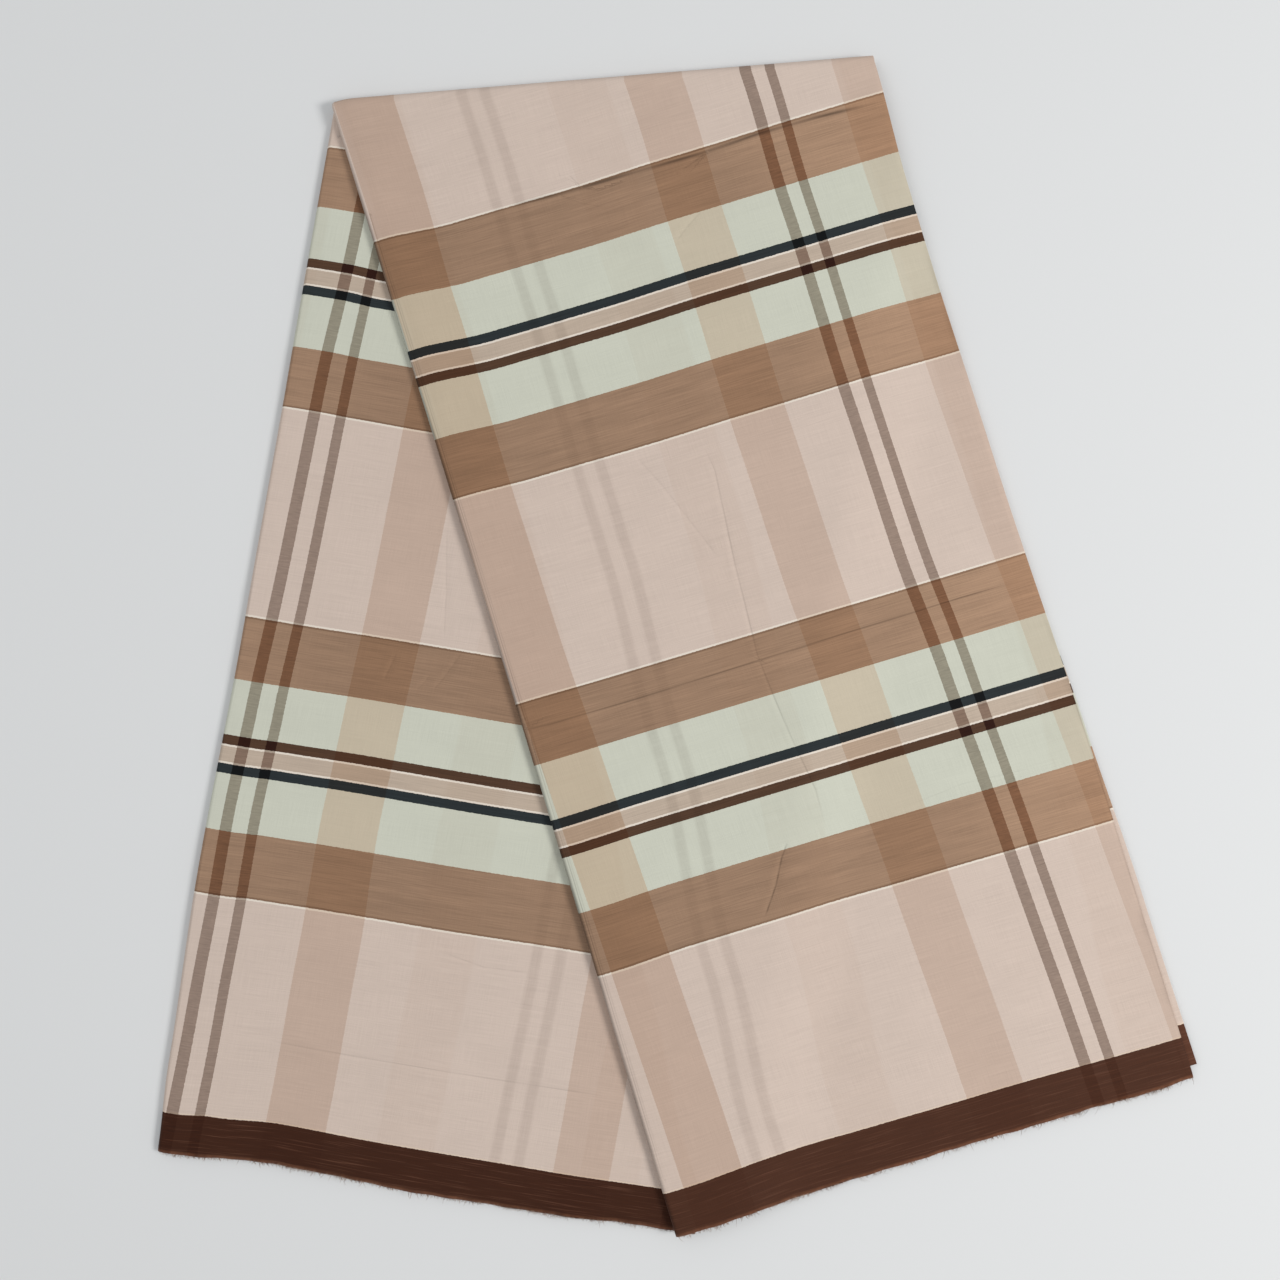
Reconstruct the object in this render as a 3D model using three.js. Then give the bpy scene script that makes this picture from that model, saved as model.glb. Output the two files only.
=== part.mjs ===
// A checked cotton lungi, folded lengthwise into a long band and laid folded once more across,
// so that two legs of the band spread from one slanting top fold. Millimetres, +Z up, the floor
// at z = 0, +Y towards the top fold.

import * as THREE from "three";

// Corners of the folded band, seen from above
const foldLeft = [-185, 290];
const foldRight = [107, 313];
const upperHemLeft = [0, -309];
const upperHemRight = [266.7, -228];
const lowerHemLeft = [-269, -268];
const lowerHemRight = [9, -313];

// Thicknesses of the stack
const wall = 1.0;
const gap = 0.3;
const foldRadius = 4.6;
const upperThickness = 4.45;
const lowerThickness = 4.3;
const upperCoreDepth = 2 * (wall + gap);
const noseCoreDepth = wall + gap;
const noseCoreInner = 4.3;

// How the sheets turn in at the long left fold and the right-hand edges
const lipLength = 4;
const lipStep = 1;
const tongueStart = 2.3;
const edgeRound = 0.35;
const foldSteps = 6;
const acrossSteps = 14;

// Past the lower leg's right edge the upper leg comes down to the floor over this distance
const rampStart = 15;
const rampWidth = 45;

// Hem: how far each layer stops short of the top sheet, and how the top sheet droops
const hemDroop = 0.9;
const hemDroopLength = 5;
const secondLayerShort = 6;
const hiddenLayers = [
  { reach: -2.0, hemShort: 4.5 },
  { reach: -0.6, hemShort: 3.0 },
  { reach: -1.4, hemShort: 1.5 },
];
const layerGroove = 1.3;
const hemRise = 0.25;
const risePullStart = 0.8;

// The rounded fold of a hidden layer: where its points lie, as shares of the layer's thickness
const lobe = { upper: 0.12, tip: 0.5, lower: 0.88 };

// Sideways bow of each long edge, outwards positive, at shares of its length from the fold
const upperLeftBow = [
  { share: 0, bow: 0 },
  { share: 0.5, bow: -0.8 },
  { share: 1, bow: 0 },
];
const upperRightBow = [
  { share: 0, bow: 0 },
  { share: 0.12, bow: -2.6 },
  { share: 0.4, bow: -1.8 },
  { share: 0.7, bow: 0.6 },
  { share: 1, bow: 0 },
];
const lowerLeftBow = [
  { share: 0, bow: 0 },
  { share: 0.25, bow: 0.6 },
  { share: 0.5, bow: 1.5 },
  { share: 0.75, bow: 3.8 },
  { share: 0.92, bow: 2.0 },
  { share: 1, bow: 0 },
];
const straightBow = [
  { share: 0, bow: 0 },
  { share: 1, bow: 0 },
];

// How far the second layer shows past the top sheet's right edge, at shares from the fold
const secondLayerReach = [
  { share: 0, reach: -1.5 },
  { share: 0.55, reach: -0.6 },
  { share: 0.7, reach: 1.2 },
  { share: 0.85, reach: 3.2 },
  { share: 1, reach: 4.0 },
];

// Rise of each hem from its straight line towards the fold, at shares from the left corner
const upperHemRise = [
  { share: 0, rise: 0 },
  { share: 0.5, rise: 1.8 },
  { share: 0.8, rise: 1.6 },
  { share: 1, rise: 0 },
];
const lowerHemRise = [
  { share: 0, rise: 0 },
  { share: 0.22, rise: 3.6 },
  { share: 0.5, rise: 1.4 },
  { share: 1, rise: 0 },
];

// Stations near each hem, as distances from it, and then along each leg, as shares of the way
// from the fold to the hem
const hemStations = [0, 1.5, 2.75, 3, 4.25, 4.5, 6];
const legStations = [0, 0.05, 0.12, 0.19, 0.26, 0.33, 0.4, 0.47, 0.54, 0.61, 0.68, 0.75, 0.82, 0.89, 0.95];
const noseSteps = 8;

const cottonColour = 0xd6c3b6;
const tanColour = 0xa07b60;
const cottonRoughness = 0.85;

function blend(a, b, share) {
  return a + (b - a) * share;
}

function blendPoint(a, b, share) {
  return [blend(a[0], b[0], share), blend(a[1], b[1], share)];
}

function unitTowards(a, b) {
  const length = Math.hypot(b[0] - a[0], b[1] - a[1]);
  return [(b[0] - a[0]) / length, (b[1] - a[1]) / length];
}

function smooth(share) {
  const k = Math.min(1, Math.max(0, share));
  return k * k * (3 - 2 * k);
}

// A smooth curve through the rows of a short table
function fromTable(rows, share, column) {
  let i = 0;
  while (i < rows.length - 2 && share > rows[i + 1].share) {
    i += 1;
  }
  const k = (share - rows[i].share) / (rows[i + 1].share - rows[i].share);
  return blend(rows[i][column], rows[i + 1][column], smooth(k));
}

// The fold's axis lies one radius inside its outermost line
const foldDirection = unitTowards(foldLeft, foldRight);
const foldOutward = [-foldDirection[1], foldDirection[0]];
const axisLeft = [foldLeft[0] - foldOutward[0] * foldRadius, foldLeft[1] - foldOutward[1] * foldRadius];
const axisRight = [foldRight[0] - foldOutward[0] * foldRadius, foldRight[1] - foldOutward[1] * foldRadius];

const upperLeg = {
  hemLeft: upperHemLeft,
  hemRight: upperHemRight,
  leftBow: upperLeftBow,
  rightBow: upperRightBow,
  hemRise: upperHemRise,
};
const lowerLeg = {
  hemLeft: lowerHemLeft,
  hemRight: lowerHemRight,
  leftBow: lowerLeftBow,
  rightBow: straightBow,
  hemRise: lowerHemRise,
};

function edgePoint(from, to, bowTable, share, side) {
  const direction = unitTowards(from, to);
  const bow = fromTable(bowTable, share, "bow") * side;
  const point = blendPoint(from, to, share);
  return [point[0] - direction[1] * bow, point[1] + direction[0] * bow];
}

// Where the upper leg's top surface lies: on the lower leg, or on the floor past its right edge
function upperTop(point) {
  const edge = unitTowards(axisRight, lowerHemRight);
  const past = (point[1] - axisRight[1]) * edge[0] - (point[0] - axisRight[0]) * edge[1];
  const drop = 2 * foldRadius - upperThickness;
  return 2 * foldRadius - drop * smooth((past - rampStart) / rampWidth);
}

// A frame at one station: place(across, depth) gives a point of the stack there, with depth
// counted from the band's outer side, which is the top of the upper leg and the underside of
// the lower one
function legFrame(leg, share, isUpper) {
  const left = edgePoint(axisLeft, leg.hemLeft, leg.leftBow, share, -1);
  const right = edgePoint(axisRight, leg.hemRight, leg.rightBow, share, 1);
  const across = unitTowards(left, right);
  const width = Math.hypot(right[0] - left[0], right[1] - left[1]);
  const down = [across[1], -across[0]];
  const legLength = Math.hypot(leg.hemLeft[0] - axisLeft[0], leg.hemLeft[1] - axisLeft[1]);
  const fromHem = (1 - share) * legLength;
  const hemPull = smooth((share - risePullStart) / (1 - risePullStart));
  const droop = hemDroop * Math.max(0, 1 - fromHem / hemDroopLength) ** 2;
  const thickness = isUpper ? upperThickness : lowerThickness;
  function place(x, depth) {
    const rise = fromTable(leg.hemRise, Math.min(1, Math.max(0, x / width)), "rise") * hemPull;
    const point = [
      left[0] + across[0] * x - down[0] * rise,
      left[1] + across[1] * x - down[1] * rise,
    ];
    const heightShare = isUpper ? 1 - depth / thickness : depth / thickness;
    const sag = droop * Math.max(0, heightShare);
    const z = isUpper ? upperTop(point) - depth : depth;
    return [point[0], point[1], z - sag];
  }
  return { place, width };
}

function noseFrame(angle) {
  const width = Math.hypot(axisRight[0] - axisLeft[0], axisRight[1] - axisLeft[1]);
  function place(x, depth) {
    const reach = (foldRadius - depth) * Math.cos(angle);
    return [
      axisLeft[0] + foldDirection[0] * x + foldOutward[0] * reach,
      axisLeft[1] + foldDirection[1] * x + foldOutward[1] * reach,
      foldRadius + (foldRadius - depth) * Math.sin(angle),
    ];
  }
  return { place, width };
}

// Triangles of a section made of a tip, an outer line and an inner line of equal count
function sheetEnd(count) {
  const pairs = (count - 1) / 2;
  const faces = [[0, 1, count - 1]];
  for (let i = 1; i < pairs; i += 1) {
    faces.push([i, i + 1, count - i - 1], [i, count - i - 1, count - i]);
  }
  return faces;
}

// Triangles of the hidden layers' section, in the order that coreSection gives its points
function coreEnd() {
  const outerCount = acrossSteps + 3;
  const innerRight = 2 * outerCount;
  const faces = [[outerCount - 1, outerCount, outerCount + 1]];
  for (let i = 1; i < outerCount - 1; i += 1) {
    faces.push([i, i + 1, innerRight - i - 1], [i, innerRight - i - 1, innerRight - i]);
  }
  const pointsEach = 4;
  const roots = hiddenLayers.map((_, i) => innerRight + i * pointsEach);
  roots.push(0);
  faces.push([1, innerRight - 1, innerRight]);
  for (let i = 0; i < hiddenLayers.length; i += 1) {
    const root = roots[i];
    faces.push([1, root, roots[i + 1]]);
    faces.push([root, root + 1, root + 2], [root, root + 2, root + 3], [root, root + 3, roots[i + 1]]);
  }
  return faces;
}

// Joins rings of equal count into one closed body, its two ends filled with endFaces.
// Each four-sided patch is split the same way on the outer and the inner line, so that
// neighbouring layers stay parallel where they slope.
function loft(rings, endFaces) {
  const count = rings[0].length;
  const turn = Math.ceil(count / 2);
  const positions = [];
  for (const ring of rings) {
    for (const point of ring) {
      positions.push(...point);
    }
  }
  const faces = [];
  for (let i = 0; i < rings.length - 1; i += 1) {
    for (let j = 0; j < count; j += 1) {
      const a = i * count + j;
      const b = i * count + (j + 1) % count;
      if (j < turn) {
        faces.push([a, b, b + count], [a, b + count, a + count]);
      } else {
        faces.push([a, b, a + count], [b, b + count, a + count]);
      }
    }
  }
  const last = (rings.length - 1) * count;
  for (const [a, b, c] of endFaces) {
    faces.push([a, c, b], [last + a, last + b, last + c]);
  }
  return faceOutwards(positions, faces);
}

function faceOutwards(positions, faces) {
  let volume = 0;
  const corner = (i) => new THREE.Vector3().fromArray(positions, i * 3);
  for (const [a, b, c] of faces) {
    volume += corner(a).dot(corner(b).cross(corner(c)));
  }
  const turned = volume < 0 ? faces.map(([a, b, c]) => [a, c, b]) : faces;
  const geometry = new THREE.BufferGeometry();
  geometry.setAttribute("position", new THREE.Float32BufferAttribute(positions, 3));
  geometry.setIndex(turned.flat());
  geometry.computeVertexNormals();
  return geometry;
}

// Even steps across the band's width, from a piece's right end back to its start near the fold
function acrossPoints(width, start, end) {
  const points = [end];
  for (let i = 1; i < acrossSteps; i += 1) {
    points.push(width * (1 - i / acrossSteps));
  }
  points.push(start);
  return points;
}

// A sheet that lies on one side of the stack and turns round the long left fold.
// side is 0 where it lies on the outer side and 1 where it lies on the inner side.
function turnedSheet(width, thickness, side) {
  const radius = thickness / 2;
  const depthOf = (fromFace) => (side === 0 ? fromFace : thickness - fromFace);
  const outside = [];
  const inside = [];
  for (const x of acrossPoints(width, radius, width - edgeRound)) {
    outside.push([x, depthOf(0)]);
    inside.push([x, depthOf(wall)]);
  }
  for (let i = 1; i <= foldSteps; i += 1) {
    const angle = (Math.PI * i) / foldSteps;
    const outX = radius - radius * Math.sin(angle);
    const inX = radius - (radius - wall) * Math.sin(angle);
    outside.push([outX, depthOf(radius - radius * Math.cos(angle))]);
    inside.push([inX, depthOf(radius - (radius - wall) * Math.cos(angle))]);
  }
  outside.push([radius + lipLength, depthOf(thickness)]);
  inside.push([radius + lipLength, depthOf(thickness - wall)]);
  return [[width, depthOf(wall / 2)], ...outside, ...inside.reverse()];
}

// A plain flat layer with a rounded right edge
function flatLayer(width, reach, near, far) {
  const xs = acrossPoints(width, tongueStart, width + reach - edgeRound);
  const top = xs.map((x) => [x, near]);
  const bottom = xs.map((x) => [x, far]).reverse();
  return [[width + reach, (near + far) / 2], ...top, ...bottom];
}

// The hidden layers: a rounded body whose right side shows each layer's fold, with a thinner
// tongue at the left that clears the sheet's turned-in lip
function coreSection(width, depths) {
  const lipEnd = Math.max(upperThickness, lowerThickness) / 2 + lipLength + gap;
  const right = width + Math.min(...hiddenLayers.map((layer) => layer.reach)) - layerGroove;
  const xs = acrossPoints(width, lipEnd + lipStep, right);
  const tongueMiddle = (depths.outerLip + depths.innerLip) / 2;
  const section = xs.map((x) => [x, depths.outer]);
  section.push([lipEnd, depths.outerLip]);
  section.push([tongueStart + edgeRound, depths.outerLip]);
  section.push([tongueStart, tongueMiddle]);
  section.push([tongueStart + edgeRound, depths.innerLip]);
  section.push([lipEnd, depths.innerLip]);
  section.push(...xs.map((x) => [x, depths.inner]).reverse());
  const each = (depths.inner - depths.outer) / hiddenLayers.length;
  hiddenLayers.forEach((layer, i) => {
    const top = depths.inner - i * each;
    const tip = width + layer.reach;
    if (i > 0) {
      section.push([right, top]);
    }
    section.push([tip - edgeRound, top - each * lobe.upper]);
    section.push([tip, top - each * lobe.tip]);
    section.push([tip - edgeRound, top - each * lobe.lower]);
  });
  return section;
}

function ringOf(frame, section) {
  return section.map(([x, depth]) => frame.place(x, depth));
}

// Shares of a leg's length at which the hem's layers end
function shareAt(leg, fromHem) {
  const length = Math.hypot(leg.hemLeft[0] - axisLeft[0], leg.hemLeft[1] - axisLeft[1]);
  return 1 - fromHem / length;
}

function noseAngles() {
  const angles = [];
  for (let i = 1; i <= noseSteps; i += 1) {
    angles.push(Math.PI / 2 - (Math.PI * i) / noseSteps);
  }
  return angles;
}

// The upper leg's top sheet, over the top fold and down to the floor behind it
function upperFace() {
  const rings = [];
  const nearHem = hemStations.map((fromHem) => shareAt(upperLeg, fromHem));
  const shares = [...nearHem, ...legStations.slice().reverse()];
  const frames = shares.map((share) => legFrame(upperLeg, share, true));
  frames.push(...noseAngles().map(noseFrame));
  for (const frame of frames) {
    rings.push(ringOf(frame, turnedSheet(frame.width, upperThickness, 0)));
  }
  return loft(rings, sheetEnd(rings[0].length));
}

// The lower leg's top sheet, from the inside of the top fold down to its hem
function lowerFace() {
  const rings = [];
  const nearHem = hemStations.map((fromHem) => shareAt(lowerLeg, fromHem));
  const start = 1 - shareAt(lowerLeg, gap);
  const shares = [...nearHem, ...legStations.slice(1).reverse(), start];
  for (const share of shares) {
    const frame = legFrame(lowerLeg, share, false);
    rings.push(ringOf(frame, turnedSheet(frame.width, lowerThickness, 1)));
  }
  return loft(rings, sheetEnd(rings[0].length));
}

// The second layer, which shows as a narrow edge past the upper leg's right side
function secondLayer() {
  const rings = [];
  const shares = [shareAt(upperLeg, secondLayerShort), ...legStations.slice(1).reverse()];
  for (const share of shares) {
    const frame = legFrame(upperLeg, share, true);
    const reach = fromTable(secondLayerReach, share, "reach");
    rings.push(ringOf(frame, flatLayer(frame.width, reach, wall + gap, 2 * wall + gap)));
  }
  return loft(rings, sheetEnd(rings[0].length));
}

// Depths of the hidden layers where none has ended yet
const upperDepths = {
  outer: upperCoreDepth,
  outerLip: upperCoreDepth,
  innerLip: upperThickness - wall - gap,
  inner: upperThickness,
};
const lowerDepths = {
  outer: 0,
  outerLip: wall + gap,
  innerLip: lowerThickness - wall - gap,
  inner: lowerThickness - wall - gap,
};

// The same depths after the uppermost layers have ended, near a hem
function endedDepths(depths, ended, isUpper) {
  const share = ended / hiddenLayers.length;
  if (isUpper) {
    const outer = blend(depths.outer, depths.inner, share);
    return { ...depths, outer, outerLip: Math.min(outer, depths.innerLip - hemRise) };
  }
  const inner = blend(depths.inner, depths.outer, share);
  return { ...depths, inner, innerLip: Math.max(inner, depths.outerLip + hemRise) };
}

// Stations from the hem inwards, two at each layer's end
function hemSteps(leg, depths, isUpper) {
  const steps = [];
  for (let ended = hiddenLayers.length - 1; ended >= 0; ended -= 1) {
    const from = hiddenLayers[ended].hemShort;
    const to = ended > 0 ? hiddenLayers[ended - 1].hemShort - hemRise : secondLayerShort;
    const set = endedDepths(depths, ended, isUpper);
    steps.push({ share: shareAt(leg, from), set });
    steps.push({ share: shareAt(leg, to), set });
  }
  return steps;
}

// The hidden layers of both legs, one body from hem to hem through the top fold
function hiddenBody() {
  const rings = [];
  for (const { share, set } of hemSteps(upperLeg, upperDepths, true)) {
    const frame = legFrame(upperLeg, share, true);
    rings.push(ringOf(frame, coreSection(frame.width, set)));
  }
  for (const share of legStations.slice(1).reverse()) {
    const frame = legFrame(upperLeg, share, true);
    rings.push(ringOf(frame, coreSection(frame.width, upperDepths)));
  }
  const noseStart = {
    outer: noseCoreDepth,
    outerLip: noseCoreDepth,
    innerLip: upperDepths.innerLip,
    inner: noseCoreInner,
  };
  const noseEnd = { ...noseStart, innerLip: lowerDepths.innerLip, inner: lowerDepths.inner };
  const start = legFrame(upperLeg, 0, true);
  rings.push(ringOf(start, coreSection(start.width, noseStart)));
  noseAngles().forEach((angle, i) => {
    const share = (i + 1) / noseSteps;
    const set = {
      ...noseStart,
      innerLip: blend(noseStart.innerLip, noseEnd.innerLip, share),
      inner: blend(noseStart.inner, noseEnd.inner, share),
    };
    const frame = noseFrame(angle);
    rings.push(ringOf(frame, coreSection(frame.width, set)));
  });
  const clear = 1 - shareAt(lowerLeg, gap);
  const down = 1 - shareAt(lowerLeg, gap + lipStep);
  const lowerStart = legFrame(lowerLeg, clear, false);
  rings.push(ringOf(lowerStart, coreSection(lowerStart.width, noseEnd)));
  const lowerDown = legFrame(lowerLeg, down, false);
  rings.push(ringOf(lowerDown, coreSection(lowerDown.width, lowerDepths)));
  for (const share of legStations.slice(1)) {
    const frame = legFrame(lowerLeg, share, false);
    rings.push(ringOf(frame, coreSection(frame.width, lowerDepths)));
  }
  for (const { share, set } of hemSteps(lowerLeg, lowerDepths, false).reverse()) {
    const frame = legFrame(lowerLeg, share, false);
    rings.push(ringOf(frame, coreSection(frame.width, set)));
  }
  return loft(rings, coreEnd());
}

function cotton(colour) {
  return new THREE.MeshStandardMaterial({ color: colour, roughness: cottonRoughness, metalness: 0 });
}

const lungi = new THREE.Group();

function addPiece(name, geometry, colour) {
  const piece = new THREE.Mesh(geometry, cotton(colour));
  piece.name = name;
  lungi.add(piece);
}

addPiece("upper_leg_face", upperFace(), cottonColour);
addPiece("lower_leg_face", lowerFace(), cottonColour);
addPiece("upper_leg_second_layer", secondLayer(), tanColour);
addPiece("hidden_layers", hiddenBody(), tanColour);

export default lungi;
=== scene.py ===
import math
import random

import bpy
import numpy as np
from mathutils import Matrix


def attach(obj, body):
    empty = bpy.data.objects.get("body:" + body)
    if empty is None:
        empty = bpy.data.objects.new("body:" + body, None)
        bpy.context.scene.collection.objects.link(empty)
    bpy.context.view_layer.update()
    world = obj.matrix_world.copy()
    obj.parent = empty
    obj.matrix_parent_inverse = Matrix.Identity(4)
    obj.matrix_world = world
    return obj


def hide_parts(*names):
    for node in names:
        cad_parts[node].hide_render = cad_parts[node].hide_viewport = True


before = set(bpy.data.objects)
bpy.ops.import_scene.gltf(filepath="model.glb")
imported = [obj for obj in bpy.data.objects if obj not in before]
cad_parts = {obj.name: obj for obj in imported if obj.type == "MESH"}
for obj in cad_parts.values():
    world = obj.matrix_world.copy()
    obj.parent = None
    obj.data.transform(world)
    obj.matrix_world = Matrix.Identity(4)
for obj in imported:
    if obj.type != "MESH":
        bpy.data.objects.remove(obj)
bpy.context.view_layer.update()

millimetre = 0.001

# Sizes are metres, but for the drifts and creases below. The band is folded across once, so it has
# an upper and a lower leg that spread from one slanting top fold. Depth is counted from the band's
# outer side: the top of the upper leg, the underside of the lower leg.
stack = {
    "foldLeft": (-0.185, 0.29),
    "foldRight": (0.107, 0.313),
    "foldRadius": 0.0046,
    "wall": 0.001,
    "gap": 0.0003,
    "rampStart": 0.015,
    "rampWidth": 0.045,
    "hemDroop": 0.0009,
    "hemDroopLength": 0.005,
    "parallelShare": 0.66,
    "hemPullStart": 0.8,
}

upperLeg = {
    "isUpper": True,
    "thickness": 0.00445,
    "hemLeft": (0.0, -0.309),
    "hemRight": (0.2667, -0.228),
    "leftBow": [(0, 0), (0.5, -0.0008), (1, 0)],
    "rightBow": [(0, 0), (0.12, -0.0026), (0.4, -0.0018), (0.7, 0.0006), (1, 0)],
    "hemRise": [(0, 0), (0.25, 0.0004), (0.5, 0.0004), (0.8, -0.0006), (0.92, -0.0016),
                (1, -0.0008)],
    "edgeDip": [(0, 0.0011), (0.26, 0.001), (0.37, 0.0003), (1, 0.0003)],
}

lowerLeg = {
    "isUpper": False,
    "thickness": 0.0043,
    "hemLeft": (-0.269, -0.268),
    "hemRight": (0.009, -0.313),
    "leftBow": [(0, 0), (0.25, 0.0006), (0.5, 0.0015), (0.75, 0.0038), (0.92, 0.002), (1, 0)],
    "rightBow": [(0, 0), (1, 0)],
    "hemRise": [(0, 0), (0.22, 0.0036), (0.5, 0.0014), (0.67, 0.0019), (0.78, 0.002), (0.86, 0.0041),
                (1, 0.0044)],
    "edgeDip": [(0, 0.0003), (1, 0.0003)],
}

# The woven check. Cross stripes follow one another along the band from the upper hem to the
# lower hem, lengthwise ones across it.
weave = {
    "border": 0.0228,
    "endField": 0.116,
    "field": 0.1136,
    "tan": 0.033,
    "white": 0.0288,
    "thin": 0.0055,
    "middle": 0.0092,
    "hairline": 0.0012,
    "thinHairline": 0.00072,
    "borderHairline": 0.0007,
    "tanEdge": 0.0005,
    "pinkWeft": 0.0312,
    "wideWeft": 0.1225,
    "nearWeft": 0.0303,
    "greyWeft": 0.0056,
    "greyGap": 0.0069,
}
setLength = 2 * weave["tan"] + 2 * weave["white"] + 2 * weave["thin"] + weave["middle"]
crossPeriod = setLength + weave["field"]
weftPeriod = (2 * weave["pinkWeft"] + weave["wideWeft"] + 2 * weave["nearWeft"]
              + 2 * weave["greyWeft"] + weave["greyGap"])
firstSet = weave["border"] + weave["endField"]
clothLength = 2 * firstSet + 4 * setLength + 3 * weave["field"]
greyStart = 2 * weave["pinkWeft"] + weave["wideWeft"] + weave["nearWeft"]

# How the check lies on each leg: the direction of its stripes, where they start, and how far the
# cloth is drawn off straight: a row of shifts, in millimetres, for each distance along
upperWeave = {
    "crossDegrees": 16.66,
    "crossStart": -0.2451,
    "chartAtStart": firstSet + 2 * setLength + weave["field"],
    "chartSign": -1,
    "crossDrift": {
        "across": (0.003, 0.045, 0.105, 0.165, 0.27),
        0.000: (-1.7, 1.1, 1.3, 0.2, -0.6),
        0.067: (-1.7, 1.1, 1.2, 0.1, 0),
        0.144: (-0.7, 0.6, 0.9, 0.3, -0.6),
        0.257: (-0.1, 0.3, 0.3, 0.2, 0.1),
        0.29: (0.1, -0.1, 0, 0.1, 0.2),
        0.334: (1, 0.3, 0.3, 0.7, 1.2),
        0.401: (1.9, 0.4, 0.3, 1.2, 2),
        0.517: (0.9, -0.9, 0.1, 0.5, 2.2),
    },
    "grainDegrees": -71.63,
    "grainStart": -0.0874,
    "grainChart": 0.0,
    "grainScale": 1.0107,
    "grainDrift": {
        "across": (0.03, 0.155, 0.185, 0.225, 0.265),
        -0.034: (3.5, 2.9, 2.6, 3.1, 3.5),
        0.044: (1, 0.5, -0.1, 0.1, 0.8),
        0.16: (-1.6, -2.1, -2.8, -2.5, -1.1),
        0.235: (-2.1, -2.7, -3.6, -2.4, -1),
        0.305: (-0.7, -1.4, -1.8, -0.3, 1),
        0.4: (0.6, 0.3, -0.1, 1, 2.6),
        0.5: (1.6, 1.4, 1, 1.8, 3.9),
    },
    "underStart": [(-0.034, 0.065), (0.096, 0.066), (0.2, 0.0652), (0.305, 0.058),
                   (0.415, 0.046), (0.5, 0.038)],
    # The pink weft's share falls towards the right edge, painting the lighter sheen there
    "pinkShareAndSheen": [(0.0, 1.0), (0.03, 1.0), (0.155, 0.82), (0.22, 0.78), (0.27, 0.6)],
    # The tan's painted sheen, stronger towards the right edge
    "paintedSheen": [(0.0, 0.0), (0.03, 0.02), (0.19, 0.08), (0.245, 0.26), (0.285, 0.34)],
}

lowerWeave = {
    "crossDegrees": -9.5,
    "crossStart": -0.22965,
    "chartAtStart": firstSet + 2 * setLength + 2 * weave["field"],
    "chartSign": 1,
    "crossDrift": {
        "across": (0.003, 0.025, 0.06, 0.11, 0.2, 0.28),
        0.033: (-0.4, 0.3, 0.4, 0.4, 0.4, 0.4),
        0.075: (-1.1, 0.2, 0.4, 0.4, 0.4, 0.4),
        0.144: (-1.7, -1.1, -0.6, -0.5, -0.5, -0.5),
        0.257: (-0.3, -0.4, -0.8, -0.8, -0.8, -1),
        0.33: (0.4, -0.2, -0.7, -0.6, -1, -1.5),
        0.401: (1.4, 0.3, -0.2, -0.4, -1.6, -2.8),
        0.517: (0.6, -1.3, -3.7, -2.9, -3.3, -5),
    },
    "grainDegrees": -100.76,
    "grainStart": -0.21338,
    "grainChart": greyStart,
    "grainScale": 0.993,
    "grainDrift": {
        "across": (0.003, 0.017, 0.05, 0.082, 0.203, 0.235),
        0.048: (1, 1.3, 1.8, 1.3, -2.2, -4.2),
        0.127: (-1, 0.5, 1.7, 1.2, -2.2, -4.2),
        0.235: (-0.7, 0.9, 2.1, 1.1, -2.4, -4.4),
        0.305: (-1.9, -0.3, 0.9, -0.6, -3.2, -5.2),
        0.354: (-2.7, -1.2, 0.1, -1.4, -3.2, -5.2),
        0.425: (-1.1, 0.4, 1.9, 1.4, -2.4, -4.3),
        0.5: (0, 1.5, 3.2, 2.5, -1.4, -3.5),
    },
    "underStart": [(0.0, 0.1715), (0.334, 0.1728), (0.417, 0.1715), (0.5, 0.169)],
    # The pink weft's share falls towards the right edge, painting the lighter sheen there
    "pinkShareAndSheen": [(0.2, 0.9), (0.3, 0.9), (0.45, 0.78)],
    # The tan's painted sheen, at the left fold
    "paintedSheen": [(0.208, 0.14), (0.225, 0.05), (0.26, 0.0)],
}
upperLeg["weave"] = upperWeave
lowerLeg["weave"] = lowerWeave


# A crease: its depth, half-width and the ridge beside it, how strong the painted shade and highlight
# along its line are (which also sets its fine bump), how many times broader than a thin one that
# painted line is, and the points of its line; sizes in millimetres
def creased(depth, width, ridge, shadeAndBump, broad, *line):
    return {"depth": depth * millimetre, "width": width * millimetre, "ridge": ridge * millimetre,
            "shadeAndBump": shadeAndBump, "broad": broad, "line": [(x * millimetre, y * millimetre) for x, y in line]}


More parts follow.
